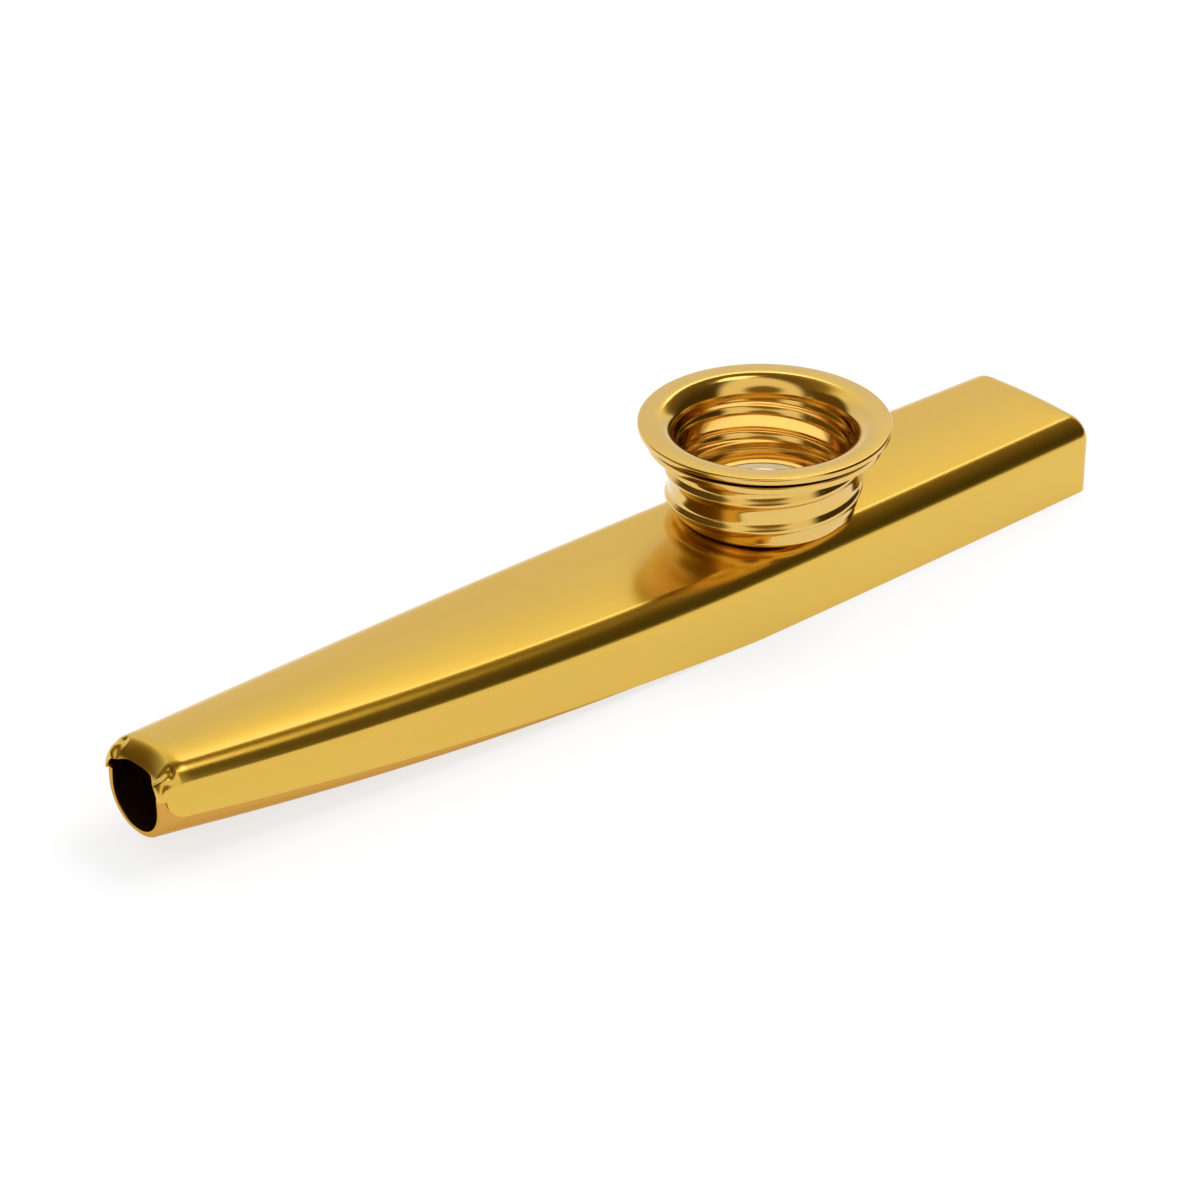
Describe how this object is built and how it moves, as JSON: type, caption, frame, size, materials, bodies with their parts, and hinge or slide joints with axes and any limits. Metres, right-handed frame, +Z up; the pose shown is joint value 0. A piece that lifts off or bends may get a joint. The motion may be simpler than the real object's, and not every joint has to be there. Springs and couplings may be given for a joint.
{
  "type": "kazoo",
  "caption": "Pressed metal kazoo: a tapered flat body with a round outlet, a mouth slot and a turret whose threaded ring clamps the buzzing membrane.",
  "frame": {"origin": "middle of the underside, on the surface that the kazoo lies on", "axes": "+X along the body from the narrow outlet to the wide mouth end, +Z up through the turret, Y across the body"},
  "size_m": [0.12, 0.026, 0.0184],
  "materials": {
    "gold_shell": "satin gold anodised",
    "gold_turret": "bright gold anodised",
    "washer_board": "pressed fibre board",
    "membrane_film": "thin translucent film"
  },
  "bodies": {
    "body": {"upper_shell": "gold_shell", "lower_shell": "gold_shell", "turret_collar": "gold_turret"},
    "membrane_stack": {"membrane": "membrane_film", "membrane_washer": "washer_board"},
    "ring": {"screw_ring": "gold_turret"}
  },
  "joints": [
    {"name": "ring_lift", "type": "slide", "parent": "body", "child": "membrane_stack", "axis": [0, 0, 1], "range_m": [0, 0.005]},
    {"name": "ring_turn", "type": "hinge", "parent": "membrane_stack", "child": "ring", "pos_m": [0.0189, 0, 0.0105], "axis": [0, 0, 1], "range_deg": [0, 600]}
  ],
  "couplings": [
    {"joint": "ring_lift", "follows": "ring_turn", "m_per_rad": 0.00047746}
  ]
}
